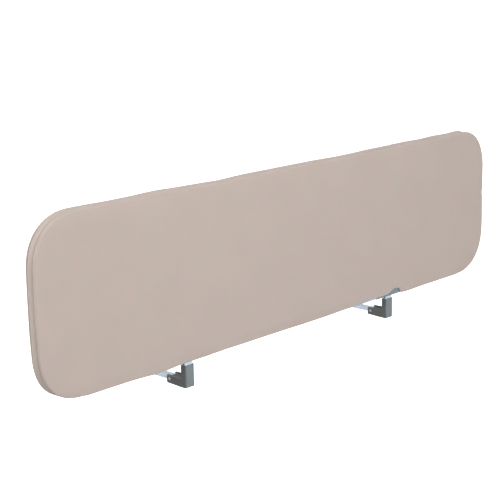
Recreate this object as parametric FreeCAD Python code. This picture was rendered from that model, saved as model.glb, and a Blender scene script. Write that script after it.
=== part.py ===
import FreeCAD
import Part
import os

# Upholstered desk screen on two forked brackets, each hinged to a bar under the desktop. Millimetres.
# Frame: the origin is the centre of the four desk fixing holes, on the plane of the bars' top faces.
# X runs along the screen, +Y points in over the desktop, +Z up.

# Screen
WIDTH = 1600.0
HEIGHT = 400.0
THICKNESS = 30.0
CORNER_R = 106.0
EDGE_R = 4.0
COVER_T = 1.0
FRONT_TURN = 10.0
REAR_TURN = 4.0
PAD_T = 3.0
EDGE_FOAM_T = 9.0
SCREEN_FRONT_Y = -123.0
SCREEN_BOTTOM_Z = 45.5

# Rails along the bottom edge
RAIL_END_X = 690.0
RAIL_H = 14.5
RAIL_T = 3.0
HEM_W = 8.0
TAPE_W = 5.0
TAPE_T = 0.8
SCREW_R = 2.0
SCREW_HEAD_R = 3.8
SCREW_L = 25.0
CENTRE_SCREWS_X = (-270.0, -90.0, 90.0, 270.0)
END_SCREWS_X = (460.0, 565.0, 670.0)

# Saddles, tongues and their fastenings
BRACKET_X = 373.0
SADDLE_W = 125.0
SADDLE_H = 32.0
SADDLE_EDGE_R = 1.0
BOLT_Z = 21.0
BOLT_SPACING = 44.0
BOLT_R = 2.5
BOLT_CLEARANCE = 0.1
BOLT_HEAD_R = 4.6
BOLT_HEAD_H = 2.1
BOLT_L = 26.0
NUT_R = 3.2
NUT_L = 9.0
SOCKET_R = 1.5
SOCKET_DEPTH = 1.6
TONGUE_W = 27.0
TONGUE_T = 10.0
TONGUE_CORNER_R = 4.0
TONGUE_SETBACK = 13.5
TONGUE_UP = 45.0
TONGUE_DOWN = 40.0
TONGUE_CHAMFER = 1.5
POCKET_END_GAP = 0.3
SIDE_HOLE_R = 2.2
SIDE_HOLE_DEPTH = 6.0
SIDE_HOLE_DOWN = 6.5
TONGUE_SCREW_L = 34.0

# Bracket arms
ARM_W = 31.0
POST_DEPTH = 15.4
POST_TOP = -9.5
ARM_BOTTOM = -63.0
ARM_H = 22.0
ARM_RISE = 2.0
POST_CORNER_R = 6.0
EAR_T = 3.5
FORK_TIP_Y = 69.0
FORK_FLOOR_T = 6.0
EAR_TIP_R = 3.5
ARM_FILLET = 2.5
WEB_END_Y = 50.5
WEB_DEPTH = 3.0
STOP_LIP_L = 3.5
STOP_GAP = 0.2
CASTING_R = 2.0

# Hinge and desk bars
PIN_Y = -65.0
PIN_Z = -4.0
PIN_R = 2.5
PIN_RUNNING_GAP = 0.05
PIN_HEAD_R = 3.5
PIN_HEAD_T = 1.2
PIN_TAIL = 2.0
CLIP_R = 5.0
CLIP_T = 0.8
KNUCKLE_R = 6.0
BAR_SIDE_GAP = 0.3
BAR_T = 8.0
BAR_END_Y = 49.0
BAR_CORNER_R = 5.0
BAR_EDGE_BREAK = 0.6
FIXING_HOLE_R = 2.6
FIXING_HEAD_R = 5.2
FIXING_HOLE_Y = 25.0

SCREEN_MID_Y = SCREEN_FRONT_Y + THICKNESS / 2
SCREEN_REAR_Y = SCREEN_FRONT_Y + THICKNESS
TONGUE_Y = SCREEN_FRONT_Y + TONGUE_SETBACK
CORE_FRONT_Y = SCREEN_FRONT_Y + COVER_T + PAD_T
CORE_T = THICKNESS - 2 * (COVER_T + PAD_T)
CORE_BOTTOM_Z = SCREEN_BOTTOM_Z + COVER_T + RAIL_T
FAR = 5000.0
TINY = 0.01

X_DIR = FreeCAD.Vector(1, 0, 0)
Y_DIR = FreeCAD.Vector(0, 1, 0)
Z_DIR = FreeCAD.Vector(0, 0, 1)
SIDES = {"left": -1, "right": 1}


def box(x0, x1, y0, y1, z0, z1):
    return Part.makeBox(x1 - x0, y1 - y0, z1 - z0, FreeCAD.Vector(x0, y0, z0))


def cylinder(radius, length, x, y, z, direction):
    return Part.makeCylinder(radius, length, FreeCAD.Vector(x, y, z), direction)


def cone(radius0, radius1, length, x, y, z, direction):
    return Part.makeCone(radius0, radius1, length, FreeCAD.Vector(x, y, z), direction)


def rounded_plate(x_half, z0, z1, corner_r, y0, thickness):
    """A plate in the X-Z plane with four round corners."""
    plate = box(-x_half, x_half, y0, y0 + thickness, z0, z1)
    corners = [edge for edge in plate.Edges if edge.BoundBox.YLength > thickness / 2]
    return plate.makeFillet(corner_r, corners)


def soft_edged_plate(inset, edge_r):
    """The screen's outer form drawn in by an inset, with its front and rear edges rounded."""
    y0 = SCREEN_FRONT_Y + inset
    thickness = THICKNESS - 2 * inset
    plate = rounded_plate(WIDTH / 2 - inset, SCREEN_BOTTOM_Z + inset, SCREEN_BOTTOM_Z + HEIGHT - inset,
                          CORNER_R - inset, y0, thickness)
    rims = [edge for edge in plate.Edges if edge.BoundBox.YLength < TINY]
    return plate.makeFillet(edge_r, rims)


def fillet_where(shape, radius, keep):
    return shape.makeFillet(radius, [edge for edge in shape.Edges if keep(edge.BoundBox)])


def bracket_boxes(width, y0, y1, z0, z1):
    return [box(side * BRACKET_X - width / 2, side * BRACKET_X + width / 2, y0, y1, z0, z1)
            for side in SIDES.values()]


def screw(radius, head_r, head_h, length, x, y, z, direction):
    """A countersunk screw whose flat face is at the given point, with a round drive recess."""
    shank = cylinder(radius, length, x, y, z, direction)
    head = cone(head_r, radius, head_h, x, y, z, direction)
    return shank.fuse(head).cut(cylinder(SOCKET_R, SOCKET_DEPTH, x, y, z, direction)).removeSplitter()


def saddle_bolt_places(side):
    return [side * BRACKET_X + offset for offset in (-BOLT_SPACING, 0.0, BOLT_SPACING)]


def saddle_bolt_holes(side):
    """Holes through the board and the saddle's walls for the bolts and their sleeve nuts."""
    z = SCREEN_BOTTOM_Z + BOLT_Z
    holes = []
    for x in saddle_bolt_places(side):
        holes.append(cylinder(BOLT_R + BOLT_CLEARANCE, THICKNESS, x, SCREEN_FRONT_Y, z, Y_DIR))
        holes.append(cone(BOLT_HEAD_R, BOLT_R, BOLT_HEAD_H, x, SCREEN_FRONT_Y + COVER_T, z, Y_DIR))
        holes.append(cylinder(NUT_R, NUT_L, x, SCREEN_REAR_Y - COVER_T - NUT_L, z, Y_DIR))
        holes.append(cone(BOLT_HEAD_R, BOLT_R, BOLT_HEAD_H, x, SCREEN_REAR_Y - COVER_T, z, -Y_DIR))
    return holes


def rail_screw_places():
    return list(CENTRE_SCREWS_X) + [side * x for side in SIDES.values() for x in END_SCREWS_X]


def rail_screw_solids():
    head_h = SCREW_HEAD_R - SCREW_R
    z = SCREEN_BOTTOM_Z + COVER_T
    return [screw(SCREW_R, SCREW_HEAD_R, head_h, SCREW_L, x, SCREEN_MID_Y, z, Z_DIR)
            for x in rail_screw_places()]


def filled_screw_holes():
    """The screws' full outer forms, without their drive recesses."""
    head_h = SCREW_HEAD_R - SCREW_R
    z = SCREEN_BOTTOM_Z + COVER_T
    holes = []
    for x in rail_screw_places():
        holes.append(cylinder(SCREW_R, SCREW_L, x, SCREEN_MID_Y, z, Z_DIR))
        holes.append(cone(SCREW_HEAD_R, SCREW_R, head_h, x, SCREEN_MID_Y, z, Z_DIR))
    return holes


def tongue_form(side, end_gap):
    """The tongue's flat bar with round corners, or the pocket that it fits into."""
    x = side * BRACKET_X
    half_w = TONGUE_W / 2 + end_gap
    bar = box(x - half_w, x + half_w, TONGUE_Y - TONGUE_T / 2, TONGUE_Y + TONGUE_T / 2,
              SCREEN_BOTTOM_Z - TONGUE_DOWN, SCREEN_BOTTOM_Z + TONGUE_UP)
    return fillet_where(bar, TONGUE_CORNER_R, lambda b: b.ZLength > TONGUE_UP)


def core_outline():
    return rounded_plate(WIDTH / 2 - COVER_T - EDGE_FOAM_T, CORE_BOTTOM_Z,
                         SCREEN_BOTTOM_Z + HEIGHT - COVER_T - EDGE_FOAM_T,
                         CORNER_R - COVER_T - EDGE_FOAM_T, CORE_FRONT_Y, CORE_T)


def core_board(core):
    cuts = filled_screw_holes()
    for side in SIDES.values():
        cuts += saddle_bolt_holes(side)
        cuts.append(tongue_form(side, 0))
    return core.cut(cuts)


def rail_zone():
    return box(-RAIL_END_X, RAIL_END_X, SCREEN_FRONT_Y, SCREEN_REAR_Y,
               SCREEN_BOTTOM_Z, SCREEN_BOTTOM_Z + RAIL_H)


def saddle_zones():
    return bracket_boxes(SADDLE_W, SCREEN_FRONT_Y, SCREEN_REAR_Y, SCREEN_BOTTOM_Z,
                         SCREEN_BOTTOM_Z + SADDLE_H)


def edge_foam(inner, core):
    ring = inner.common(box(-FAR, FAR, CORE_FRONT_Y, CORE_FRONT_Y + CORE_T, -FAR, FAR))
    return ring.cut([core, rail_zone()])


def face_pad(inner, y0):
    pad = inner.common(box(-FAR, FAR, y0, y0 + PAD_T, -FAR, FAR))
    return pad.cut([rail_zone()] + saddle_zones())


def hook_tape_solids():
    """Strips of tape let into the underside of the rails, a front and a rear row."""
    z0 = SCREEN_BOTTOM_Z + COVER_T
    inner_x = BRACKET_X - SADDLE_W / 2
    outer_x = BRACKET_X + SADDLE_W / 2
    spans = ((-RAIL_END_X, -outer_x), (-inner_x, inner_x), (outer_x, RAIL_END_X))
    rows = (SCREEN_FRONT_Y + EDGE_R, SCREEN_REAR_Y - EDGE_R - TAPE_W)
    return [box(x0, x1, y0, y0 + TAPE_W, z0, z0 + TAPE_T) for x0, x1 in spans for y0 in rows]


def rail(inner, core, x0, x1):
    zone = box(x0, x1, SCREEN_FRONT_Y, SCREEN_REAR_Y, SCREEN_BOTTOM_Z, SCREEN_BOTTOM_Z + RAIL_H)
    return inner.common(zone).cut([core] + hook_tape_solids() + filled_screw_holes())


def cover_shell(outer, inner):
    """The cover's cloth, open under the rails apart from its turned-in hems, and slit at the saddles."""
    z0 = SCREEN_BOTTOM_Z
    z1 = SCREEN_BOTTOM_Z + COVER_T
    opening = box(-RAIL_END_X, RAIL_END_X, SCREEN_FRONT_Y + HEM_W + COVER_T,
                  SCREEN_REAR_Y - HEM_W - COVER_T, z0, z1)
    slits = bracket_boxes(SADDLE_W, SCREEN_FRONT_Y + COVER_T, SCREEN_REAR_Y - COVER_T, z0, z0 + EDGE_R)
    return outer.cut([inner, opening] + slits)


def cover_pieces(shell):
    """Front and rear pieces that turn round the edges, and the band sewn between them."""
    seam_front_y = SCREEN_FRONT_Y + FRONT_TURN
    seam_rear_y = SCREEN_REAR_Y - REAR_TURN
    low = SCREEN_BOTTOM_Z + COVER_T
    hem_zone = box(-RAIL_END_X, RAIL_END_X, seam_front_y, seam_rear_y, SCREEN_BOTTOM_Z, low)
    front_zone = box(-FAR, FAR, -FAR, seam_front_y, -FAR, FAR)
    rear_zone = box(-FAR, FAR, seam_rear_y, FAR, -FAR, FAR)
    hems = shell.common(hem_zone)
    front_hems = hems.common(box(-FAR, FAR, -FAR, SCREEN_MID_Y, -FAR, FAR))
    rear_hems = hems.common(box(-FAR, FAR, SCREEN_MID_Y, FAR, -FAR, FAR))
    front = shell.common(front_zone).fuse(front_hems).removeSplitter()
    rear = shell.common(rear_zone).fuse(rear_hems).removeSplitter()
    band = shell.common(box(-FAR, FAR, seam_front_y, seam_rear_y, -FAR, FAR)).cut(hem_zone)
    return front, band, rear


def saddle(side, core):
    """A channel pressed over the board's lower edge, bare between the cover's slits."""
    x = side * BRACKET_X
    body = box(x - SADDLE_W / 2, x + SADDLE_W / 2, SCREEN_FRONT_Y + COVER_T, SCREEN_REAR_Y - COVER_T,
               SCREEN_BOTTOM_Z, SCREEN_BOTTOM_Z + SADDLE_H)
    body = fillet_where(body, SADDLE_EDGE_R, lambda b: b.XLength > SADDLE_H
                        and b.ZMax < SCREEN_BOTTOM_Z + TINY)
    return body.cut([core, tongue_form(side, 0)] + saddle_bolt_holes(side))


def tongue(side):
    x = side * BRACKET_X
    top = SCREEN_BOTTOM_Z + TONGUE_UP
    low = SCREEN_BOTTOM_Z - TONGUE_DOWN
    body = tongue_form(side, 0)
    body = body.makeChamfer(TONGUE_CHAMFER, [edge for edge in body.Edges if edge.BoundBox.ZMin > top - TINY])
    bolt_hole = cylinder(BOLT_R + BOLT_CLEARANCE, THICKNESS, x, SCREEN_FRONT_Y,
                         SCREEN_BOTTOM_Z + BOLT_Z, Y_DIR)
    screw_length = TONGUE_SCREW_L - (low - SCREEN_BOTTOM_Z - ARM_BOTTOM)
    screw_hole = cylinder(BOLT_R, screw_length, x, TONGUE_Y, low, Z_DIR)
    side_hole = cylinder(SIDE_HOLE_R, SIDE_HOLE_DEPTH, x - TONGUE_W / 2, TONGUE_Y,
                         SCREEN_BOTTOM_Z - SIDE_HOLE_DOWN, X_DIR)
    return body.cut([bolt_hole, screw_hole, side_hole])


def tongue_screw(side):
    return screw(BOLT_R, BOLT_HEAD_R, BOLT_HEAD_H, TONGUE_SCREW_L, side * BRACKET_X, TONGUE_Y,
                 SCREEN_BOTTOM_Z + ARM_BOTTOM, Z_DIR)


def saddle_bolts(side):
    y = SCREEN_FRONT_Y + COVER_T
    return [screw(BOLT_R, BOLT_HEAD_R, BOLT_HEAD_H, BOLT_L, x, y, SCREEN_BOTTOM_Z + BOLT_Z, Y_DIR)
            for x in saddle_bolt_places(side)]


def saddle_nuts(side):
    y = SCREEN_REAR_Y - COVER_T
    z = SCREEN_BOTTOM_Z + BOLT_Z
    nuts = []
    for x in saddle_bolt_places(side):
        nut = screw(NUT_R, BOLT_HEAD_R, BOLT_HEAD_R - NUT_R, NUT_L, x, y, z, -Y_DIR)
        thread_end = SCREEN_FRONT_Y + COVER_T + BOLT_L
        thread_start = y - NUT_L
        nuts.append(nut.cut(cylinder(BOLT_R, thread_end - thread_start, x, thread_start, z, Y_DIR)))
    return nuts


def rising_beam(x0, width, rear, tip, low):
    """The fork's bar: level on top, its underside rising from the post to the tip."""
    start = rear - POST_CORNER_R
    outline = [(start, low), (rear, low), (tip, low + ARM_RISE), (tip, low + ARM_H), (start, low + ARM_H)]
    points = [FreeCAD.Vector(x0, y, z) for y, z in outline + outline[:1]]
    return Part.Face(Part.makePolygon(points)).extrude(FreeCAD.Vector(width, 0, 0))


def arm(side):
    """Post and fork in one casting: the fork has a floor, two ears, a web and a stop lip under the bar."""
    x = side * BRACKET_X
    low = SCREEN_BOTTOM_Z + ARM_BOTTOM
    top = SCREEN_BOTTOM_Z + POST_TOP
    front = TONGUE_Y - POST_DEPTH / 2
    rear = TONGUE_Y + POST_DEPTH / 2
    tip = SCREEN_FRONT_Y + FORK_TIP_Y
    post = box(x - ARM_W / 2, x + ARM_W / 2, front, rear, low, top)
    post = fillet_where(post, POST_CORNER_R, lambda b: b.ZLength > BAR_CORNER_R and b.YMax < front + TINY)
    beam = rising_beam(x - ARM_W / 2, ARM_W, rear, tip, low)
    beam = fillet_where(beam, EAR_TIP_R, lambda b: b.XLength > EAR_T and b.YMin > tip - TINY)
    body = post.fuse(beam).removeSplitter()
    inner_z = low + ARM_H
    body = fillet_where(body, ARM_FILLET, lambda b: b.XLength > ARM_W - TINY and b.ZLength < TINY
                        and abs(b.ZMin - inner_z) < TINY and abs(b.YMin - rear) < TINY)
    body = fillet_where(body, CASTING_R, lambda b: abs(b.ZMin - low) < TINY and b.ZMax < low + ARM_RISE
                        and b.YMin < rear + TINY and not (b.YLength < TINY and b.YMin > rear - TINY))
    half_gap = ARM_W / 2 - EAR_T
    web_end = SCREEN_FRONT_Y + WEB_END_Y
    channel = box(x - half_gap, x + half_gap, web_end, tip + ARM_FILLET,
                  low + FORK_FLOOR_T, low + ARM_H + ARM_FILLET)
    web_top = low + ARM_H - WEB_DEPTH
    above_web = box(x - half_gap, x + half_gap, rear, web_end, web_top, low + ARM_H + ARM_FILLET)
    above_web = fillet_where(above_web, ARM_FILLET, lambda b: b.XLength > EAR_T
                             and b.YMax < rear + TINY and b.ZMax < web_top + TINY)
    stop_top = PIN_Z - BAR_T / 2 - STOP_GAP
    lip = box(x - half_gap, x + half_gap, tip - STOP_LIP_L, tip, low + FORK_FLOOR_T, stop_top)
    lip = fillet_where(lip, STOP_GAP, lambda b: b.XLength > EAR_T and b.ZMin > stop_top - TINY)
    screw_form = [cylinder(BOLT_R, TONGUE_SCREW_L, x, TONGUE_Y, low, Z_DIR),
                  cone(BOLT_HEAD_R, BOLT_R, BOLT_HEAD_H, x, TONGUE_Y, low, Z_DIR)]
    pin_hole = cylinder(PIN_R, ARM_W, x - ARM_W / 2, PIN_Y, PIN_Z, X_DIR)
    body = body.cut([channel, above_web, tongue_form(side, POCKET_END_GAP), pin_hole] + screw_form)
    return body.fuse(lip).removeSplitter()


def hinge_pin(side):
    x0 = side * BRACKET_X - ARM_W / 2
    shank = cylinder(PIN_R, ARM_W + PIN_TAIL, x0, PIN_Y, PIN_Z, X_DIR)
    head = cylinder(PIN_HEAD_R, PIN_HEAD_T, x0 - PIN_HEAD_T, PIN_Y, PIN_Z, X_DIR)
    head = fillet_where(head, PIN_HEAD_T / 3, lambda b: b.XMax < x0 - PIN_HEAD_T + TINY)
    shank = shank.makeChamfer(PIN_HEAD_T / 3, [edge for edge in shank.Edges
                                               if edge.BoundBox.XMin > x0 + ARM_W + PIN_TAIL - TINY])
    return head.fuse(shank).removeSplitter()


def pin_clip(side):
    x0 = side * BRACKET_X + ARM_W / 2
    disc = cylinder(CLIP_R, CLIP_T, x0, PIN_Y, PIN_Z, X_DIR)
    return disc.cut(cylinder(PIN_R, CLIP_T, x0, PIN_Y, PIN_Z, X_DIR))


def desk_bar(side):
    x = side * BRACKET_X
    half_w = ARM_W / 2 - EAR_T - BAR_SIDE_GAP
    top = PIN_Z + BAR_T / 2
    low = PIN_Z - BAR_T / 2
    blade = box(x - half_w, x + half_w, PIN_Y, BAR_END_Y, low, top)
    blade = fillet_where(blade, BAR_CORNER_R, lambda b: b.ZLength > BAR_CORNER_R
                         and b.YMin > BAR_END_Y - TINY)
    knuckle = cylinder(KNUCKLE_R, 2 * half_w, x - half_w, PIN_Y, PIN_Z, X_DIR)
    bar = blade.fuse(knuckle).removeSplitter()
    bar = fillet_where(bar, BAR_EDGE_BREAK, lambda b: b.ZLength < TINY and b.XLength < TINY
                       and b.YLength > FIXING_HOLE_Y)
    pin_hole = cylinder(PIN_R + PIN_RUNNING_GAP, 2 * half_w, x - half_w, PIN_Y, PIN_Z, X_DIR)
    holes = [pin_hole]
    for y in (-FIXING_HOLE_Y, FIXING_HOLE_Y):
        holes.append(cylinder(FIXING_HOLE_R, BAR_T, x, y, low, Z_DIR))
        holes.append(cone(FIXING_HEAD_R, FIXING_HOLE_R, FIXING_HEAD_R - FIXING_HOLE_R, x, y, low, Z_DIR))
    return bar.cut(holes)


def save(name, shape):
    solids = shape.Solids if isinstance(shape, Part.Shape) else [s for part in shape for s in part.Solids]
    result = solids[0] if len(solids) == 1 else Part.makeCompound(solids)
    if not all(solid.isValid() for solid in solids):
        print("invalid solid in", name)
    volume = sum(solid.Volume for solid in solids)
    print(name, len(solids), "solid(s)", round(volume / 1000, 2), "cm3")
    result.exportStep(os.path.join("parts", name + ".step"))


def save_screen():
    outer = soft_edged_plate(0, EDGE_R)
    inner = soft_edged_plate(COVER_T, EDGE_R - COVER_T)
    core = core_outline()
    inner_x = BRACKET_X - SADDLE_W / 2
    outer_x = BRACKET_X + SADDLE_W / 2
    front, band, rear = cover_pieces(cover_shell(outer, inner))
    save("core_board", core_board(core))
    save("edge_foam", edge_foam(inner, core))
    save("front_pad", face_pad(inner, SCREEN_FRONT_Y + COVER_T))
    save("rear_pad", face_pad(inner, SCREEN_REAR_Y - COVER_T - PAD_T))
    save("centre_rail", rail(inner, core, -inner_x, inner_x))
    save("left_end_rail", rail(inner, core, -RAIL_END_X, -outer_x))
    save("right_end_rail", rail(inner, core, outer_x, RAIL_END_X))
    save("rail_screws", rail_screw_solids())
    save("hook_tapes", hook_tape_solids())
    save("cover_front", front)
    save("cover_band", band)
    save("cover_rear", rear)
    for name, side in SIDES.items():
        save(name + "_saddle", saddle(side, core))


def save_brackets():
    for name, side in SIDES.items():
        save(name + "_arm", arm(side))
        save(name + "_tongue", tongue(side))
        save(name + "_tongue_screw", tongue_screw(side))
        save(name + "_saddle_bolts", saddle_bolts(side))
        save(name + "_saddle_nuts", saddle_nuts(side))
        save(name + "_hinge_pin", hinge_pin(side))
        save(name + "_pin_clip", pin_clip(side))
        save(name + "_desk_bar", desk_bar(side))


os.makedirs("parts", exist_ok=True)
save_screen()
save_brackets()
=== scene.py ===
"""Looks of the desk privacy panel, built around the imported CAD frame.

Everything is in metres, in the frame's own axes: X along the screen, Y inwards, Z up.
"""
import math

import bpy
from mathutils import Matrix, Vector, noise


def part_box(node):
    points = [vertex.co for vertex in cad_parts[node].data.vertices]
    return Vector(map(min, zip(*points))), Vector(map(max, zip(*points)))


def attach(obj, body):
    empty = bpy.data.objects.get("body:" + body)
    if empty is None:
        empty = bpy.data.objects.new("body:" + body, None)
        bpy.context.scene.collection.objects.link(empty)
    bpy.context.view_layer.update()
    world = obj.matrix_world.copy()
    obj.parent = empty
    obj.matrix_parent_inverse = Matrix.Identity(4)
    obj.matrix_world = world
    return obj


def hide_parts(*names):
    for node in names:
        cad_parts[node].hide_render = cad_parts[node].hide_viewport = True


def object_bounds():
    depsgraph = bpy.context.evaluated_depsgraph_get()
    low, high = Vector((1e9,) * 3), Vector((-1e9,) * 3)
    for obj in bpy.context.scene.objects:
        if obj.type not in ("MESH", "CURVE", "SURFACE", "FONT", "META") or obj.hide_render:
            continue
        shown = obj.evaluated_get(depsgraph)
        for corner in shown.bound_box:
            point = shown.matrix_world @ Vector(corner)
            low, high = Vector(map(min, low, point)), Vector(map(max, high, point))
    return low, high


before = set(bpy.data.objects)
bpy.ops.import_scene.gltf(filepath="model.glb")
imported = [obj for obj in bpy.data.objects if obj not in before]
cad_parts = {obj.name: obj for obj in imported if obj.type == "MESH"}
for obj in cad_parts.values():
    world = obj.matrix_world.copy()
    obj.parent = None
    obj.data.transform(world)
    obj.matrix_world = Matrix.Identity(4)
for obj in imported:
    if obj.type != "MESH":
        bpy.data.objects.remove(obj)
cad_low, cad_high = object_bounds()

MM = 0.001

# ---------------------------------------------------------------- sizes read from the frame
front_low, front_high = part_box("cover_front")
rear_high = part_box("cover_rear")[1]
band_low, band_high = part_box("cover_band")
rail_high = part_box("right_end_rail")[1]
saddle_low, saddle_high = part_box("right_saddle")

HALF_W = (front_high.x - front_low.x) / 2
HEIGHT = front_high.z - front_low.z
THICK = rear_high.y - front_low.y
FRONT_Y = front_low.y
BOTTOM_Z = front_low.z
SEAM_FRONT = band_low.y - FRONT_Y
SEAM_REAR = band_high.y - FRONT_Y
RAIL_END = rail_high.x
SADDLE_X = (saddle_low.x + saddle_high.x) / 2
SADDLE_HALF = (saddle_high.x - saddle_low.x) / 2
SADDLE_TOP = saddle_high.z - BOTTOM_Z
RAIL_TOP = rail_high.z - BOTTOM_Z

# ---------------------------------------------------------------- the cover's shape
CLOTH_T = 0.9 * MM

# The outline's corners are a little fuller than circles.
CORNER_R = 0.115
CORNER_POWER = 2.2

# The face is a grid as far as the rim. From there, sections lead over its edge.
RIM = 20.0 * MM
FACE_STEP = 5.0 * MM
CORNER_STEPS = 26
PROFILE_STEPS = 22
SEAM_FLAT_STEPS = 4
HEM_FLAT_STEPS = 6
ROLL_STEPS = 6
SPLINE_STEPS = 8

# The rolled edges lie inside the outline, and the seams are sunk in valleys behind them.
FRONT_INSET = 1.4 * MM
REAR_INSET = 0.9 * MM
FRONT_ROLL_R = 3.4 * MM
REAR_ROLL_R = 1.2 * MM
FRONT_VALLEY = 1.2 * MM
REAR_VALLEY = 0.6 * MM
SEAM_TUCK = 0.3 * MM
SEAM_LIP = 0.6 * MM
SEAM_GAP = 0.2 * MM
VALLEY_START = 0.4

# The hem under the rails, its slits for the brackets, and the front edge where it is lifted.
HEM_TURN = 9.0 * MM
HEM_ROLL_R = 2.4 * MM
HEM_BLEND = 14.0 * MM
HEM_WAVE_LOSS = 0.3
SLIT_INNER = 4.0 * MM
SLIT_OUTER = 2.0 * MM
SLIT_CLOTH = 0.4 * MM
LIFT_EASE = 1.2 * MM
LIFT_STAND_OFF = 1.6 * MM
LIFT_STAND_FROM = 0.4
LIFT_STAND_LOW = 1.0 * MM
LIFT_STAND_HIGH = 9.0 * MM

# The band rises from its front seam and falls to its rear one, each as (distance from the
# seam, rise). Between them it lies at its crest.
BAND_RISE = [(0.7 * MM, 0.0), (2.6 * MM, 0.9 * MM), (5.0 * MM, 1.6 * MM)]
BAND_FLAT = (8.0 * MM, 12.0 * MM)
BAND_FALL = [(2.0 * MM, 0.7 * MM), (0.6 * MM, 0.0)]
BAND_CREST = -0.6 * MM
BAND_LIMIT = 2.0 * MM
BAND_CALM = 0.4
BAND_RIPPLE = 0.6 * MM
BAND_RIPPLE_SIZE = 0.05
BAND_STEPS = 14

# ---------------------------------------------------------------- the cloth's slack
FRONT_SEED = 3.1
REAR_SEED = 8.4
BAND_SEED = 5.7
SEED_SPREAD = 1.7

# Waves along the cover's edge: (amount, size, added to the seed).
EDGE_WAVES = [(0.45 * MM, 0.075, 0), (0.4 * MM, 0.21, 5)]

# Where the cover is fuller or tighter than its true outline: (x, height, reach, amount).
FULLNESS = [
    (0.80, 0.20, 0.17, 3.4 * MM), (0.76, 0.385, 0.07, 5.5 * MM), (0.60, 0.40, 0.05, 1.6 * MM),
    (0.46, 0.40, 0.07, 1.2 * MM), (0.60, 0.0, 0.14, 2.8 * MM), (0.46, 0.0, 0.06, 1.4 * MM),
    (0.20, 0.40, 0.08, -1.8 * MM), (-0.25, 0.40, 0.06, -2.0 * MM), (-0.45, 0.40, 0.05, 2.0 * MM),
    (-0.66, 0.40, 0.12, 1.6 * MM), (-0.80, 0.31, 0.06, -1.2 * MM), (-0.80, 0.10, 0.05, -2.4 * MM),
    (-0.47, 0.0, 0.05, 5.0 * MM), (-0.76, 0.03, 0.05, 1.2 * MM), (0.445, 0.0, 0.035, 2.6 * MM),
    (0.80, 0.13, 0.04, 1.4 * MM), (-0.30, 0.0, 0.05, -0.8 * MM)]

# The small dent in the right edge.
DENT_DEPTH = 2.4 * MM
DENT_HEIGHT = 0.217
DENT_HALF = 0.009
DENT_REACH = 0.03

# How the face stands off its padding: broad swells, and finer ones drawn out along the screen.
# They fade, and the edge's waves rise, over these shares of the way from the face to the seam.
PUFF_BROAD = 0.7 * MM
PUFF_BROAD_SIZE = 0.33
PUFF_FINE = 0.3 * MM
PUFF_FINE_SIZE = 0.09
PUFF_FINE_DRAWN = 0.6
PUFF_FINE_SEED = 9
PUFF_FADE = 0.8
WAVE_RISE = 0.6

# The front piece's lower edge rides up over the rail and the right saddle: (x, height above
# the screen's bottom).
LIFTED_EDGE = [
    (-0.305, 0.0), (-0.250, 1.7 * MM), (-0.080, 1.7 * MM), (0.040, 0.8 * MM), (0.118, 1.2 * MM),
    (0.205, 3.4 * MM), (0.255, 7.2 * MM), (0.284, 9.4 * MM), (0.299, 8.8 * MM), (0.308, 6.4 * MM),
    (0.328, 5.8 * MM), (0.351, 6.0 * MM), (0.361, 8.2 * MM), (0.371, 13.0 * MM),
    (0.380, 16.8 * MM), (0.390, 17.4 * MM), (0.404, 15.6 * MM), (0.411, 8.0 * MM), (0.419, 0.0)]

# ---------------------------------------------------------------- the padding's shape
# The padding ends inside the outline, so that it stays under the cloth where that is tight.
PAD_GAP = 0.6 * MM
PAD_INSET = 8.6 * MM
PAD_FRONT = 1.0 * MM
PAD_BACK = 0.15 * MM
PAD_STEP = 0.2 * MM
PAD_ROWS = 60
PAD_SOFT = 1.2 * MM
PAD_SWELL = 0.25 * MM
PAD_SWELL_SIZE = 0.04
PAD_SEED = 11.0
FOAM_FRONT = 4.1 * MM
FOAM_REAR = THICK - 4.1 * MM
FOAM_INNER = 9.9 * MM
FOAM_LEAST = 0.4 * MM

# The foam's section, as (depth, outward offset): crowned, with a groove for each seam.
FOAM_SECTION = [
    (FOAM_FRONT, -FOAM_INNER), (FOAM_FRONT, -4.6 * MM), (FOAM_FRONT + 0.8 * MM, -4.0 * MM),
    (SEAM_FRONT - 3.0 * MM, -5.6 * MM), (SEAM_FRONT - 1.2 * MM, -8.2 * MM),
    (SEAM_FRONT + 1.4 * MM, -8.2 * MM), (SEAM_FRONT + 4.2 * MM, -3.4 * MM),
    (SEAM_FRONT + 8.0 * MM, -2.6 * MM), (SEAM_REAR - 4.4 * MM, -3.2 * MM),
    (SEAM_REAR - 1.6 * MM, -7.4 * MM), (FOAM_REAR, -7.6 * MM), (FOAM_REAR, -FOAM_INNER)]


def smooth(edge0, edge1, value):
    """0 below the first edge, 1 above the second, eased between them."""
    share = min(max((value - edge0) / (edge1 - edge0), 0.0), 1.0)
    return share * share * (3 - 2 * share)


def bump(value, centre, width):
    """1 at the centre, falling off to 0 on both sides."""
    return math.exp(-((value - centre) / width) ** 2)


def polyline(points, share):
    """The point at a share of a polyline's length."""
    lengths = [math.dist(a, b) for a, b in zip(points, points[1:])]
    left = share * sum(lengths)
    for (a, b), length in zip(zip(points, points[1:]), lengths):
        if left <= length:
            part = left / length
            return tuple(p + (q - p) * part for p, q in zip(a, b))
        left -= length
    return points[-1]


def spline(points, steps):
    """Evenly spaced points on a smooth curve through the given ones."""
    ends = [points[0]] + list(points) + [points[-1]]
    fine = []
    for p0, p1, p2, p3 in zip(ends, ends[1:], ends[2:], ends[3:]):
        for k in range(SPLINE_STEPS):
            t = k / SPLINE_STEPS
            fine.append(tuple(
                0.5 * (2 * b + (c - a) * t + (2 * a - 5 * b + 4 * c - d) * t * t
                       + (3 * b - a - 3 * c + d) * t ** 3)
                for a, b, c, d in zip(p0, p1, p2, p3)))
    fine.append(points[-1])
    return [polyline(fine, k / steps) for k in range(steps + 1)]


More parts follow.
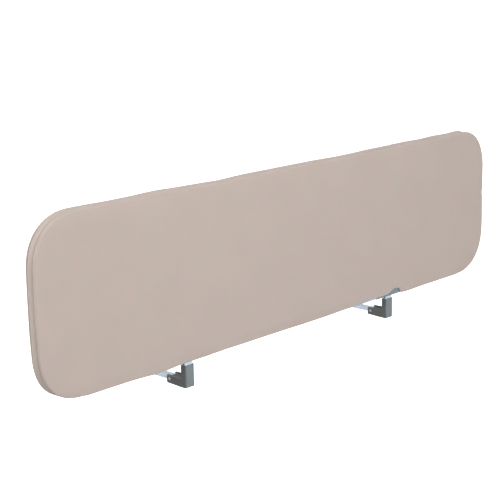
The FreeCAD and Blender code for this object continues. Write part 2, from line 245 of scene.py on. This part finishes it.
class Rim:
    """The screen's outline as columns along X, each with a point and an outward normal."""

    def __init__(self):
        corner = []
        for k in range(CORNER_STEPS + 1):
            angle = math.pi / 2 * k / CORNER_STEPS
            u = max(math.cos(angle), 0.0) ** (2 / CORNER_POWER)
            v = max(math.sin(angle), 0.0) ** (2 / CORNER_POWER)
            normal = Vector((u ** (CORNER_POWER - 1), v ** (CORNER_POWER - 1))).normalized()
            corner.append((CORNER_R * u, CORNER_R * v, normal))
        straight = HALF_W - CORNER_R
        count = round(2 * straight / FACE_STEP)
        left = [(-straight - u, CORNER_R - v, -n.x, -n.y) for u, v, n in corner]
        middle = [(-straight + 2 * straight * k / count, 0.0, 0.0, -1.0) for k in range(1, count)]
        right = [(-x, z, -nx, nz) for x, z, nx, nz in reversed(left)]
        self.columns = left + middle + right
        self.rows = round((HEIGHT - 2 * RIM) / FACE_STEP)

    def loop(self):
        """Once round, as (point, normal): bottom to the right, up, top to the left, down."""
        rows = self.rows
        side_z = [CORNER_R + (HEIGHT - 2 * CORNER_R) * j / rows for j in range(1, rows)]
        ring = [((x, z), (nx, nz)) for x, z, nx, nz in self.columns]
        ring += [((HALF_W, z), (1.0, 0.0)) for z in side_z]
        ring += [((x, HEIGHT - z), (nx, -nz)) for x, z, nx, nz in reversed(self.columns)]
        ring += [((-HALF_W, z), (-1.0, 0.0)) for z in reversed(side_z)]
        return ring

    def open_loop(self, x_from):
        """The loop without its bottom side nearer to the middle than x_from."""
        loop = self.loop()
        start = next(m for m, (point, normal) in enumerate(loop) if point[0] > x_from)
        return [(point, normal) for point, normal in loop[start:] + loop[:start]
                if abs(point[0]) > x_from or point[1] > CORNER_R]


rim = Rim()


def slack(point, scale, seed):
    """Soft noise from -1 to 1 over the cloth, with features of about the given size."""
    return noise.noise(Vector((point[0] / scale + seed, seed * SEED_SPREAD, point[1] / scale)))


def outline_wave(point, seed):
    """How far the cover's edge leaves its true outline: waves of slack cloth, and one dent."""
    wave = sum(amount * slack(point, size, seed + more) for amount, size, more in EDGE_WAVES)
    for x, z, reach, amount in FULLNESS:
        away = math.hypot(point[0] - x, point[1] - z)
        wave += amount * bump(away, 0.0, reach)
    near_end = smooth(HALF_W - DENT_REACH, HALF_W, point[0])
    return wave - DENT_DEPTH * bump(point[1], DENT_HEIGHT, DENT_HALF) * near_end


def tightness(point):
    """How far the cloth is pulled inside its true outline: zero or less."""
    return min(outline_wave(point, FRONT_SEED), outline_wave(point, REAR_SEED), 0.0)


def face_puff(point, seed):
    """How far the cloth stands off its padding: never inwards."""
    x, z = point
    drawn = (x * PUFF_FINE_DRAWN, z)
    broad = PUFF_BROAD * (1 + slack(point, PUFF_BROAD_SIZE, seed))
    fine = PUFF_FINE * (1 + slack(drawn, PUFF_FINE_SIZE, seed + PUFF_FINE_SEED))
    return broad + fine


def lifted(x):
    """Height of the front piece's lower edge above the screen's bottom."""
    for (x0, z0), (x1, z1) in zip(LIFTED_EDGE, LIFTED_EDGE[1:]):
        if x0 <= x <= x1:
            return z0 + (z1 - z0) * smooth(x0, x1, x)
    return 0.0


def slit_share(x):
    """1 inside the slits of the cover's underside, where the brackets come out."""
    away = abs(abs(x) - SADDLE_X)
    return 1 - smooth(SADDLE_HALF - SLIT_INNER, SADDLE_HALF + SLIT_OUTER, away)


def rolled_edge(inset, roll, flat_steps):
    """From the flat face over a rolled edge, inset from the outline: (depth, outward offset)."""
    flat = RIM - inset - roll
    points = [(0.0, -RIM + flat * k / flat_steps) for k in range(flat_steps + 1)]
    for k in range(1, ROLL_STEPS + 1):
        angle = math.pi / 2 * k / ROLL_STEPS
        points.append((roll * (1 - math.cos(angle)), -inset - roll * (1 - math.sin(angle))))
    return points


def seam_profile(inset, turn, valley, roll):
    """The face's rolled edge and the way on into the seam's valley."""
    points = rolled_edge(inset, roll, SEAM_FLAT_STEPS)
    points.append((roll + VALLEY_START * (turn - roll), -inset - VALLEY_START * valley))
    points.append((turn - SEAM_LIP, -inset - valley))
    points.append((turn - SEAM_GAP, -inset - valley - SEAM_TUCK))
    return points


def hem_profile(lift, slit):
    """The face's lower edge and the hem under the rail, and the share of it that is cloth."""
    points = rolled_edge(0.0, HEM_ROLL_R, HEM_FLAT_STEPS)
    points.append((HEM_TURN, 0.0))
    full = sum(math.dist(a, b) for a, b in zip(points, points[1:]))
    kept = full
    if slit > 0:
        kept = full + (RIM + SLIT_CLOTH - full) * slit
    if lift > 0:
        kept += (min(kept, RIM - lift) - kept) * smooth(0.0, LIFT_EASE, lift)
    return points, kept / full


def grid_faces(columns, stride, base=0):
    """Quads over a grid of vertices that is stored column by column."""
    faces = []
    for i in range(columns - 1):
        for j in range(stride - 1):
            a = base + i * stride + j
            faces.append((a, a + stride, a + stride + 1, a + 1))
    return faces


def grid_ring(columns, stride):
    """The grid's outer vertices, once round in the order of the outline's loop."""
    ring = [i * stride for i in range(columns)]
    ring += [(columns - 1) * stride + j for j in range(1, stride - 1)]
    ring += [i * stride + stride - 1 for i in range(columns - 1, -1, -1)]
    ring += [j for j in range(stride - 2, 0, -1)]
    return ring


def edge_path(point, normal, seam_steps, lift):
    """The cover's section at one point of its outline, and how far that section is a hem."""
    on_hem = 0.0
    if normal[1] < -0.5:
        on_hem = 1 - smooth(RAIL_END - HEM_BLEND, RAIL_END, abs(point[0]))
    hem, kept = hem_profile(lift, slit_share(point[0]))
    hem_steps = [polyline(hem, kept * k / PROFILE_STEPS) for k in range(PROFILE_STEPS + 1)]
    path = [tuple(s + (h - s) * on_hem for s, h in zip(a, b))
            for a, b in zip(seam_steps, hem_steps)]
    return path, on_hem


def cover_face(name, is_front):
    """Front or rear piece of the cover: its face, its rolled edges and its turned-in hem."""
    seed = FRONT_SEED if is_front else REAR_SEED
    inset = FRONT_INSET if is_front else REAR_INSET
    valley = FRONT_VALLEY if is_front else REAR_VALLEY
    roll = FRONT_ROLL_R if is_front else REAR_ROLL_R
    turn = SEAM_FRONT if is_front else THICK - SEAM_REAR
    rows = rim.rows
    verts, uvs = [], []

    def place(point, depth, flat_point):
        y = FRONT_Y + depth if is_front else FRONT_Y + THICK - depth
        verts.append((point[0], y, BOTTOM_Z + point[1]))
        uvs.append(flat_point)

    for x, z, nx, nz in rim.columns:
        x_in = x - nx * RIM
        z_in = z - nz * RIM
        for j in range(rows + 1):
            point = (x_in, z_in + (HEIGHT - 2 * z_in) * j / rows)
            place(point, -face_puff(point, seed), point)
    faces = grid_faces(len(rim.columns), rows + 1)
    previous = grid_ring(len(rim.columns), rows + 1)

    seam_steps = spline(seam_profile(inset, turn, valley, roll), PROFILE_STEPS)
    edge = []
    for point, normal in rim.loop():
        lift = lifted(point[0]) if is_front else 0.0
        edge.append((point, normal, lift, *edge_path(point, normal, seam_steps, lift)))
    for k in range(1, PROFILE_STEPS + 1):
        share = k / PROFILE_STEPS
        current = []
        for point, normal, lift, path, on_hem in edge:
            depth, outward = path[k]
            edge_in = (point[0] - normal[0] * RIM, point[1] - normal[1] * RIM)
            puff = face_puff(edge_in, seed) * (1 - smooth(0.0, PUFF_FADE, share))
            wave = outline_wave(point, seed) * smooth(0.0, WAVE_RISE, share)
            wave *= 1 - HEM_WAVE_LOSS * on_hem
            stand_off = LIFT_STAND_OFF * smooth(LIFT_STAND_FROM, 1.0, share)
            stand_off *= smooth(LIFT_STAND_LOW, LIFT_STAND_HIGH, lift)
            out = outward + wave
            flat_out = -RIM + share * (RIM + turn)
            current.append(len(verts))
            place((point[0] + normal[0] * out, point[1] + normal[1] * out),
                  depth - puff - stand_off,
                  (point[0] + normal[0] * flat_out, point[1] + normal[1] * flat_out))
        count = len(current)
        for m in range(count):
            n = (m + 1) % count
            faces.append((previous[m], current[m], current[n], previous[n]))
        previous = current
    if not is_front:
        faces = [tuple(reversed(face)) for face in faces]
    return make_mesh(name, verts, faces, uvs)


def beside(point, normal, out, depth):
    """The place out from a point of the outline, at a depth behind the screen's front."""
    return (point[0] + normal[0] * out, FRONT_Y + depth, BOTTOM_Z + point[1] + normal[1] * out)


def band_profile():
    """The band from its front seam to its rear one: (depth, outward offset)."""
    start = -FRONT_INSET - FRONT_VALLEY
    end = -REAR_INSET - REAR_VALLEY
    points = [(SEAM_FRONT + SEAM_GAP, start - SEAM_TUCK)]
    points += [(SEAM_FRONT + away, start + rise) for away, rise in BAND_RISE]
    points += [(SEAM_FRONT + away, BAND_CREST) for away in BAND_FLAT]
    points += [(SEAM_REAR - away, end + rise) for away, rise in BAND_FALL]
    points.append((SEAM_REAR - SEAM_GAP, end - SEAM_TUCK))
    return points


def cover_band(name):
    """The strip sewn round the sides, the top and the lower corners."""
    keep = rim.open_loop(RAIL_END - HEM_BLEND)
    steps = spline(band_profile(), BAND_STEPS)
    verts, uvs, faces = [], [], []
    along = 0.0
    before = None
    for point, normal in keep:
        along += math.dist(before, point) if before else 0.0
        before = point
        for k, (depth, outward) in enumerate(steps):
            middle = math.sin(math.pi * k / BAND_STEPS)
            wave = outline_wave(point, FRONT_SEED) * (1 - BAND_CALM * middle)
            wave += BAND_RIPPLE * middle * slack(point, BAND_RIPPLE_SIZE, BAND_SEED)
            out = min(outward + wave, BAND_LIMIT)
            verts.append(beside(point, normal, out, depth))
            uvs.append((along, depth))
    stride = BAND_STEPS + 1
    for m in range(len(keep) - 1):
        for k in range(BAND_STEPS):
            a = m * stride + k
            faces.append((a, a + 1, a + stride + 1, a + stride))
    return make_mesh(name, verts, faces, uvs)


def pad_bottom(x):
    """Where the wadding ends above the screen's bottom: it stops over the rails and saddles."""
    if abs(abs(x) - SADDLE_X) < SADDLE_HALF + PAD_GAP:
        return SADDLE_TOP + PAD_GAP
    return RAIL_TOP + PAD_GAP if abs(x) < RAIL_END + PAD_GAP else 0.0


def pad_spans():
    """The wadding's columns along X: (x, bottom, top)."""
    steps = [(x - nx * PAD_INSET, z - nz * PAD_INSET) for x, z, nx, nz in rim.columns]
    saddle_edges = (SADDLE_X - SADDLE_HALF - PAD_GAP, SADDLE_X + SADDLE_HALF + PAD_GAP)
    for edge in (RAIL_END + PAD_GAP, *saddle_edges):
        for side in (-1, 1):
            steps += [(side * edge - PAD_STEP, PAD_INSET), (side * edge + PAD_STEP, PAD_INSET)]
    return [(x, max(z, pad_bottom(x)), HEIGHT - z) for x, z in sorted(steps)]


def face_pad(name, depth_outer, depth_inner):
    """A sheet of wadding with soft edges, cut round the rails and the saddles."""
    spans = pad_spans()
    columns = len(spans)
    stride = PAD_ROWS + 1
    layer = columns * stride
    middle = (depth_outer + depth_inner) / 2
    verts = []
    for depth, shrink in ((depth_outer, PAD_SOFT), (middle, 0.0), (depth_inner, PAD_SOFT)):
        for x, z0, z1 in spans:
            x_in = x * (1 - shrink / HALF_W)
            for j in range(stride):
                z = z0 + shrink + (z1 - z0 - 2 * shrink) * j / PAD_ROWS
                swell = 0.0
                if 0 < j < PAD_ROWS and depth == depth_inner:
                    swell = abs(PAD_SWELL * slack((x, z), PAD_SWELL_SIZE, PAD_SEED))
                verts.append((x_in, FRONT_Y + depth - swell, BOTTOM_Z + z))
    faces = grid_faces(columns, stride)
    faces += [tuple(reversed(face)) for face in grid_faces(columns, stride, 2 * layer)]
    ring = grid_ring(columns, stride)
    for base in (0, layer):
        for m, a in enumerate(ring):
            b = ring[(m + 1) % len(ring)]
            faces.append((base + a, base + layer + a, base + layer + b, base + b))
    used = sorted({v for face in faces for v in face})
    index = {v: k for k, v in enumerate(used)}
    faces = [tuple(index[v] for v in face) for face in faces]
    return make_mesh(name, [verts[v] for v in used], faces)


def edge_strip(name):
    """Foam round the board's edge, which gives way where the cloth is pulled in."""
    keep = rim.open_loop(RAIL_END + PAD_GAP)
    size = len(FOAM_SECTION)
    verts, faces = [], []
    for point, normal in keep:
        give = tightness(point)
        for depth, outward in FOAM_SECTION:
            out = outward
            if outward > -FOAM_INNER:
                out = max(outward + give, -FOAM_INNER + FOAM_LEAST)
            verts.append(beside(point, normal, out, depth))
    for m in range(len(keep) - 1):
        for k in range(size):
            a, b = m * size + k, m * size + (k + 1) % size
            faces.append((a, b, b + size, a + size))
    faces.append(tuple(range(size - 1, -1, -1)))
    faces.append(tuple((len(keep) - 1) * size + k for k in range(size)))
    return make_mesh(name, verts, faces)


def make_mesh(name, verts, faces, uvs=None):
    """A smooth-shaded piece from its vertices and faces, with UVs where they are given."""
    mesh = bpy.data.meshes.new(name)
    mesh.from_pydata(verts, [], faces)
    if uvs:
        layer = mesh.uv_layers.new(name="cloth")
        for loop in mesh.loops:
            layer.data[loop.index].uv = uvs[loop.vertex_index]
    mesh.polygons.foreach_set("use_smooth", [True] * len(mesh.polygons))
    mesh.update()
    piece = bpy.data.objects.new(name, mesh)
    bpy.context.scene.collection.objects.link(piece)
    return piece


def thicken(piece):
    """Gives a cover piece the cloth's thickness, on its inner side."""
    solid = piece.modifiers.new("cloth thickness", "SOLIDIFY")
    solid.thickness = CLOTH_T
    solid.offset = -1.0
    return piece


# ---------------------------------------------------------------- materials
class Nodes:
    """A new material, and short ways to add and link its shader nodes."""

    def __init__(self, name):
        self.material = bpy.data.materials.new(name)
        self.material.use_nodes = True
        self.tree = self.material.node_tree
        self.shader = self.tree.nodes["Principled BSDF"]

    def add(self, kind, **settings):
        node = self.tree.nodes.new(kind)
        for key, value in settings.items():
            setattr(node, key, value)
        return node

    def join(self, source, target):
        self.tree.links.new(source, target)

    def maths(self, operation, first, second=None):
        node = self.add("ShaderNodeMath", operation=operation)
        for socket, value in zip(node.inputs, (first, second)):
            if isinstance(value, (int, float)):
                socket.default_value = value
            elif value is not None:
                self.join(value, socket)
        return node.outputs[0]

    def noise(self, coordinates, scale, detail=2.0, roughness=0.5):
        node = self.add("ShaderNodeTexNoise")
        node.inputs["Scale"].default_value = scale
        node.inputs["Detail"].default_value = detail
        node.inputs["Roughness"].default_value = roughness
        self.join(coordinates, node.inputs["Vector"])
        return node.outputs["Fac"]

    def place(self):
        return self.add("ShaderNodeTexCoord").outputs["Object"]

    def axes(self, vector):
        node = self.add("ShaderNodeSeparateXYZ")
        self.join(vector, node.inputs[0])
        return node.outputs

    def times(self, first, second):
        node = self.add("ShaderNodeVectorMath", operation="MULTIPLY")
        self.join(first, node.inputs[0])
        self.join(second, node.inputs[1])
        return node.outputs["Vector"]

    def blended(self, first, second, share):
        rest = self.maths("MULTIPLY", second, 1 - share)
        return self.maths("ADD", self.maths("MULTIPLY", first, share), rest)

    def ramp(self, value, stops):
        node = self.add("ShaderNodeValToRGB")
        elements = node.color_ramp.elements
        while len(elements) < len(stops):
            elements.new(0.5)
        for element, (position, colour) in zip(elements, stops):
            element.position = position
            element.color = (*colour, 1.0)
        self.join(value, node.inputs["Fac"])
        return node.outputs["Color"]

    def bump(self, height, strength, distance):
        node = self.add("ShaderNodeBump")
        node.inputs["Strength"].default_value = strength
        node.inputs["Distance"].default_value = distance
        self.join(height, node.inputs["Height"])
        self.join(node.outputs["Normal"], self.shader.inputs["Normal"])

    def set(self, **values):
        for key, value in values.items():
            self.shader.inputs[key.replace("_", " ")].default_value = value


def srgb(red, green, blue):
    """A colour given in 0-255 display values, as linear light."""
    return tuple((c / 255 / 12.92) if c <= 10 else ((c / 255 + 0.055) / 1.055) ** 2.4
                 for c in (red, green, blue))


def scaled(colour, factor):
    return tuple(c * factor for c in colour)


WHITE = (1.0, 1.0, 1.0)
CLOTH_COLOUR = scaled(srgb(192, 178, 169), 0.92)
WEAVE_PITCH = 0.9 * MM

# What is left of the metal's tone towards the bars' knuckle ends, and in the tongues' side holes,
# whose dark is painted shade.
KNUCKLE_DARK_SHARE = (0.26, 0.215, 0.175)
KNUCKLE_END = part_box("left_hinge_pin")[1].y + 3 * MM
HOLE_SHADE_SHARE = (0.03, 0.03, 0.03)
HOLE_DOWN = 6.5 * MM
HOLE_INWARDS = 3.3 * MM
HOLE_HALF_DEPTH = 3.1 * MM
HOLE_R = 2.3 * MM


def cloth_material():
    """Fine plain weave in slightly mixed beige-rose yarns."""
    n = Nodes("cover cloth")
    uv = n.add("ShaderNodeUVMap", uv_map="cloth").outputs["UV"]
    across = n.axes(uv)
    warp = n.maths("SINE", n.maths("MULTIPLY", across["X"], math.pi / WEAVE_PITCH))
    weft = n.maths("SINE", n.maths("MULTIPLY", across["Y"], math.pi / WEAVE_PITCH))
    over = n.maths("GREATER_THAN", n.maths("MULTIPLY", warp, weft), 0.0)
    under = n.maths("SUBTRACT", 1.0, over)
    weave = n.maths("ADD", n.maths("MULTIPLY", n.maths("ABSOLUTE", warp), over),
                    n.maths("MULTIPLY", n.maths("ABSOLUTE", weft), under))
    yarn = n.noise(uv, scale=900.0, detail=3.0, roughness=0.6)
    cloud = n.noise(uv, scale=9.0, detail=3.0, roughness=0.55)
    flush = n.noise(uv, scale=22.0, detail=4.0, roughness=0.6)
    dark, light = scaled(CLOTH_COLOUR, 0.93), scaled(CLOTH_COLOUR, 1.06)
    tone = n.ramp(n.blended(yarn, cloud, 0.7), [(0.25, dark), (0.5, CLOTH_COLOUR), (0.75, light)])
    rose = n.ramp(flush, [(0.38, (0.985, 1.0, 0.985)), (0.62, (1.015, 0.985, 1.0))])
    n.join(n.times(tone, rose), n.shader.inputs["Base Color"])
    n.bump(n.maths("ADD", weave, n.maths("MULTIPLY", yarn, 0.5)), strength=0.35, distance=0.25 * MM)
    n.set(Roughness=0.92, Sheen_Weight=0.06, Sheen_Roughness=0.5, Specular_IOR_Level=0.25)
    return n.material


def powder_coat(name, colour):
    """Fine-textured grey powder coat over a casting."""
    n = Nodes(name)
    grains = n.noise(n.place(), scale=1400.0, detail=3.0, roughness=0.6)
    patches = n.noise(n.place(), scale=60.0, detail=3.0, roughness=0.5)
    tone = n.ramp(n.blended(grains, patches, 0.5), [(0.3, scaled(colour, 0.9)),
                                                    (0.7, scaled(colour, 1.1))])
    n.join(tone, n.shader.inputs["Base Color"])
    n.join(n.maths("ADD", n.maths("MULTIPLY", grains, 0.25), 0.4), n.shader.inputs["Roughness"])
    n.bump(grains, strength=0.35, distance=0.12 * MM)
    n.set(Metallic=0.0, Specular_IOR_Level=1.0)
    return n.material


def knuckle_dark_mask(n):
    """1 on the bars' knuckle ends, which are toned darker."""
    return n.maths("LESS_THAN", n.axes(n.place())["Y"], KNUCKLE_END)


def side_hole_shade_mask(n):
    """1 inside the blind hole in each tongue's left side, where the bore's shade is painted in."""
    place = n.axes(n.place())
    inside = 0.0
    for name in ("left_tongue", "right_tongue"):
        low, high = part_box(name)
        centre = (low.x + HOLE_INWARDS, (low.y + high.y) / 2, BOTTOM_Z - HOLE_DOWN)
        part = 1.0
        for axis, middle, half in zip("XYZ", centre, (HOLE_HALF_DEPTH, HOLE_R, HOLE_R)):
            away = n.maths("ABSOLUTE", n.maths("SUBTRACT", place[axis], middle))
            part = n.maths("MULTIPLY", n.maths("LESS_THAN", away, half), part)
        inside = n.maths("MAXIMUM", part, inside)
    return inside


def satin_metal(name, colour, metallic, roughness, stretch, mask=None, share=None):
    """Metal with fine lines drawn along one axis, toned down to a share where the mask is 1."""
    n = Nodes(name)
    mapping = n.add("ShaderNodeMapping")
    mapping.inputs["Scale"].default_value = stretch
    n.join(n.place(), mapping.inputs["Vector"])
    lines = n.noise(mapping.outputs["Vector"], scale=700.0, detail=2.0, roughness=0.6)
    smudge = n.noise(n.place(), scale=45.0, detail=3.0, roughness=0.55)
    mix = n.blended(lines, smudge, 0.6)
    tone = n.ramp(mix, [(0.3, scaled(colour, 0.93)), (0.7, scaled(colour, 1.05))])
    if mask is not None:
        tone = n.times(tone, n.ramp(mask(n), [(0.0, WHITE), (1.0, share)]))
    n.join(tone, n.shader.inputs["Base Color"])
    rough = n.maths("ADD", n.maths("MULTIPLY", mix, 0.2), roughness - 0.1)
    n.join(rough, n.shader.inputs["Roughness"])
    n.bump(lines, strength=0.12, distance=0.05 * MM)
    n.set(Metallic=metallic)
    return n.material


def wadding(name, colour):
    """Loose matt fibres."""
    n = Nodes(name)
    fibres = n.noise(n.place(), scale=500.0, detail=5.0, roughness=0.7)
    tone = n.ramp(fibres, [(0.3, scaled(colour, 0.88)), (0.7, colour)])
    n.join(tone, n.shader.inputs["Base Color"])
    n.bump(fibres, strength=0.6, distance=0.4 * MM)
    n.set(Roughness=1.0, Sheen_Weight=0.2)
    return n.material


def particle_board(name):
    """Pressed wood chips."""
    n = Nodes(name)
    chips = n.add("ShaderNodeTexVoronoi")
    chips.inputs["Scale"].default_value = 380.0
    n.join(n.place(), chips.inputs["Vector"])
    distance = chips.outputs["Distance"]
    tone = n.ramp(distance, [(0.1, (0.5, 0.36, 0.22)), (0.6, (0.66, 0.52, 0.36))])
    n.join(tone, n.shader.inputs["Base Color"])
    n.bump(distance, strength=0.3, distance=0.2 * MM)
    n.set(Roughness=0.85)
    return n.material


def dress(node, material):
    """Gives a CAD node a material in every slot it has."""
    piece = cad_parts[node]
    slots = piece.data.materials
    if not slots:
        slots.append(material)
    for k in range(len(slots)):
        slots[k] = material


cloth = cloth_material()
grey_coat = powder_coat("bracket powder coat", srgb(68, 71, 68))
saddle_coat = powder_coat("saddle powder coat", srgb(84, 90, 91))
# The tongues' metal carries painted shade inside their side holes.
bright_tongue = satin_metal("bright tongue metal", srgb(204, 213, 224), metallic=0.15,
                            roughness=0.5, stretch=(1, 1, 30), mask=side_hole_shade_mask,
                            share=HOLE_SHADE_SHARE)
# The bars are toned darker and browner at their knuckle ends by the posts.
bar_metal = satin_metal("desk bar metal", srgb(214, 230, 246), metallic=0.3, roughness=0.45,
                        stretch=(30, 1, 30), mask=knuckle_dark_mask, share=KNUCKLE_DARK_SHARE)
rail_metal = satin_metal("rail metal", srgb(172, 175, 179), metallic=0.1, roughness=0.55,
                         stretch=(1, 30, 30))
zinc = satin_metal("zinc plated fasteners", srgb(150, 153, 155), metallic=0.9, roughness=0.4,
                   stretch=(8, 8, 8))
pin_metal = satin_metal("bright pin metal", srgb(184, 186, 188), metallic=0.2, roughness=0.4,
                        stretch=(8, 8, 8))
white_wadding = wadding("white wadding", srgb(238, 237, 234))
hook_tape = wadding("hook tape", srgb(214, 208, 200))

for side in ("left", "right"):
    dress(side + "_arm", grey_coat)
    dress(side + "_saddle", saddle_coat)
    dress(side + "_tongue", bright_tongue)
    dress(side + "_desk_bar", bar_metal)
    for part in ("tongue_screw", "saddle_bolts", "saddle_nuts"):
        dress(f"{side}_{part}", zinc)
    for part in ("hinge_pin", "pin_clip"):
        dress(f"{side}_{part}", pin_metal)
for node in ("centre_rail", "left_end_rail", "right_end_rail"):
    dress(node, rail_metal)
dress("rail_screws", zinc)
dress("hook_tapes", hook_tape)
dress("core_board", particle_board("particle board"))


# ---------------------------------------------------------------- soft pieces
def settle(piece, material):
    """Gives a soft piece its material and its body."""
    piece.data.materials.append(material)
    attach(piece, "screen")
    return piece


front = settle(thicken(cover_face("cover_front_cloth", True)), cloth)
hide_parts("cover_front")
rear = settle(thicken(cover_face("cover_rear_cloth", False)), cloth)
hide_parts("cover_rear")
band = settle(thicken(cover_band("cover_band_cloth")), cloth)
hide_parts("cover_band")
front_wadding = settle(face_pad("front_wadding", PAD_FRONT, FOAM_FRONT - PAD_BACK),
                       white_wadding)
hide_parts("front_pad")
rear_wadding = settle(face_pad("rear_wadding", THICK - PAD_FRONT, FOAM_REAR + PAD_BACK),
                      white_wadding)
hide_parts("rear_pad")
foam = settle(edge_strip("edge_foam_strip"), white_wadding)
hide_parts("edge_foam")


# ---------------------------------------------------------------- floor, light and camera
FLOOR_DROP = 0.30
FLOOR_HALF = 40.0
BACKDROP_R = 38.0
BACKDROP_HEIGHT = 30.0
BACKDROP_SIDES = 64


def floor_material():
    """Plain pale floor, lit from within so that it stays even."""
    n = Nodes("pale floor")
    cloud = n.noise(n.place(), scale=0.6, detail=2.0)
    tone = n.ramp(cloud, [(0.3, scaled(WHITE, 0.88)), (0.7, scaled(WHITE, 0.9))])
    n.join(tone, n.shader.inputs["Base Color"])
    n.set(Roughness=0.9, Specular_IOR_Level=0.0, Emission_Color=(*WHITE, 1.0),
          Emission_Strength=0.8)
    return n.material


floor_z = cad_low.z - FLOOR_DROP
floor_corners = [(sx * FLOOR_HALF, sy * FLOOR_HALF, floor_z)
                 for sx, sy in ((-1, -1), (1, -1), (1, 1), (-1, 1))]
floor = make_mesh("floor", floor_corners, [(0, 1, 2, 3)])
floor.data.materials.append(floor_material())
floor.visible_diffuse = False
floor.visible_glossy = False


def backdrop_wall():
    """A round white wall that stands on the floor and that only the camera sees."""
    angles = [2 * math.pi * k / BACKDROP_SIDES for k in range(BACKDROP_SIDES)]
    ring = [(BACKDROP_R * math.cos(angle), BACKDROP_R * math.sin(angle)) for angle in angles]
    verts = [(x, y, z) for z in (floor_z, floor_z + BACKDROP_HEIGHT) for x, y in ring]
    faces = []
    for k in range(BACKDROP_SIDES):
        after = (k + 1) % BACKDROP_SIDES
        faces.append((k, after, BACKDROP_SIDES + after, BACKDROP_SIDES + k))
    wall = make_mesh("backdrop", verts, faces)
    wall.data.materials.append(floor.data.materials[0])
    wall.visible_diffuse = False
    wall.visible_glossy = False
    wall.visible_shadow = False


backdrop_wall()


def area_light(name, aim_x, azimuth, elevation, distance, size, power, colour,
               glossy_only=False):
    """A square soft light that looks at a point at half the screen's height."""
    lamp = bpy.data.lights.new(name, "AREA")
    lamp.shape = "SQUARE"
    lamp.size = size
    lamp.energy = power
    lamp.color = colour
    light = bpy.data.objects.new(name, lamp)
    bpy.context.scene.collection.objects.link(light)
    a, e = math.radians(azimuth), math.radians(elevation)
    back = Vector((math.sin(a) * math.cos(e), -math.cos(a) * math.cos(e), math.sin(e)))
    target = Vector((aim_x, FRONT_Y, BOTTOM_Z + HEIGHT / 2))
    light.location = target + back * distance
    light.rotation_mode = "QUATERNION"
    light.rotation_quaternion = (-back).to_track_quat("-Z", "Y")
    light.visible_camera = False
    light.visible_diffuse = not glossy_only


area_light("side light", aim_x=-0.35, azimuth=-75, elevation=31, distance=5.0, size=2.8,
           power=100, colour=(1.0, 0.988, 0.972))
area_light("front light", aim_x=-0.25, azimuth=-5, elevation=30, distance=2.4, size=1.2,
           power=19, colour=(1.0, 0.97, 0.94))
area_light("metal softbox", aim_x=0.0, azimuth=18, elevation=12, distance=4.5, size=4.4,
           power=500, colour=(0.68, 0.84, 1.0), glossy_only=True)
area_light("rear light", aim_x=0.0, azimuth=-150, elevation=14, distance=4.5, size=3.0,
           power=110, colour=(0.9, 0.97, 1.0))

SKY_BRIGHT_SIDE = (0.55, -0.80, 0.24)
SKY_DIM = 0.40
SKY_BRIGHT = 0.85
SKY_COLOUR = (0.99, 0.995, 1.0, 1)


def studio_world():
    """Even light from all round, stronger from the front right."""
    world = bpy.data.worlds.new("studio")
    world.use_nodes = True
    sky = world.node_tree
    facing = sky.nodes.new("ShaderNodeVectorMath")
    facing.operation = "DOT_PRODUCT"
    facing.inputs[1].default_value = SKY_BRIGHT_SIDE
    sky.links.new(sky.nodes.new("ShaderNodeTexCoord").outputs["Generated"], facing.inputs[0])
    spread = sky.nodes.new("ShaderNodeMapRange")
    spread.inputs["From Min"].default_value = -1.0
    spread.inputs["To Min"].default_value = SKY_DIM
    spread.inputs["To Max"].default_value = SKY_BRIGHT
    sky.links.new(facing.outputs["Value"], spread.inputs["Value"])
    sky.links.new(spread.outputs["Result"], sky.nodes["Background"].inputs["Strength"])
    sky.nodes["Background"].inputs["Color"].default_value = SKY_COLOUR
    bpy.context.scene.world = world


studio_world()
bpy.context.scene.view_settings.view_transform = "Standard"

CAMERA_PLACE = Vector((-2.341, -2.176, 0.9615))
CAMERA_YAW = math.radians(46.56)
CAMERA_PITCH = math.radians(13.06)
CAMERA_ROLL = math.radians(-1.10)
CAMERA_LENS = 94.3
CAMERA_FAR = 200.0


def make_camera():
    """A camera that looks to the right of +Y by its yaw and down by its pitch."""
    ahead = Vector((math.sin(CAMERA_YAW) * math.cos(CAMERA_PITCH),
                    math.cos(CAMERA_YAW) * math.cos(CAMERA_PITCH), -math.sin(CAMERA_PITCH)))
    right = Vector((math.cos(CAMERA_YAW), -math.sin(CAMERA_YAW), 0))
    up = right.cross(ahead)
    rolled_right = math.cos(CAMERA_ROLL) * right + math.sin(CAMERA_ROLL) * up
    rolled_up = math.cos(CAMERA_ROLL) * up - math.sin(CAMERA_ROLL) * right
    data = bpy.data.cameras.new("camera")
    data.lens = CAMERA_LENS
    data.clip_end = CAMERA_FAR
    camera = bpy.data.objects.new("camera", data)
    bpy.context.scene.collection.objects.link(camera)
    camera.matrix_world = Matrix((
        (rolled_right.x, rolled_up.x, -ahead.x, CAMERA_PLACE.x),
        (rolled_right.y, rolled_up.y, -ahead.y, CAMERA_PLACE.y),
        (rolled_right.z, rolled_up.z, -ahead.z, CAMERA_PLACE.z),
        (0, 0, 0, 1)))
    bpy.context.scene.camera = camera


make_camera()
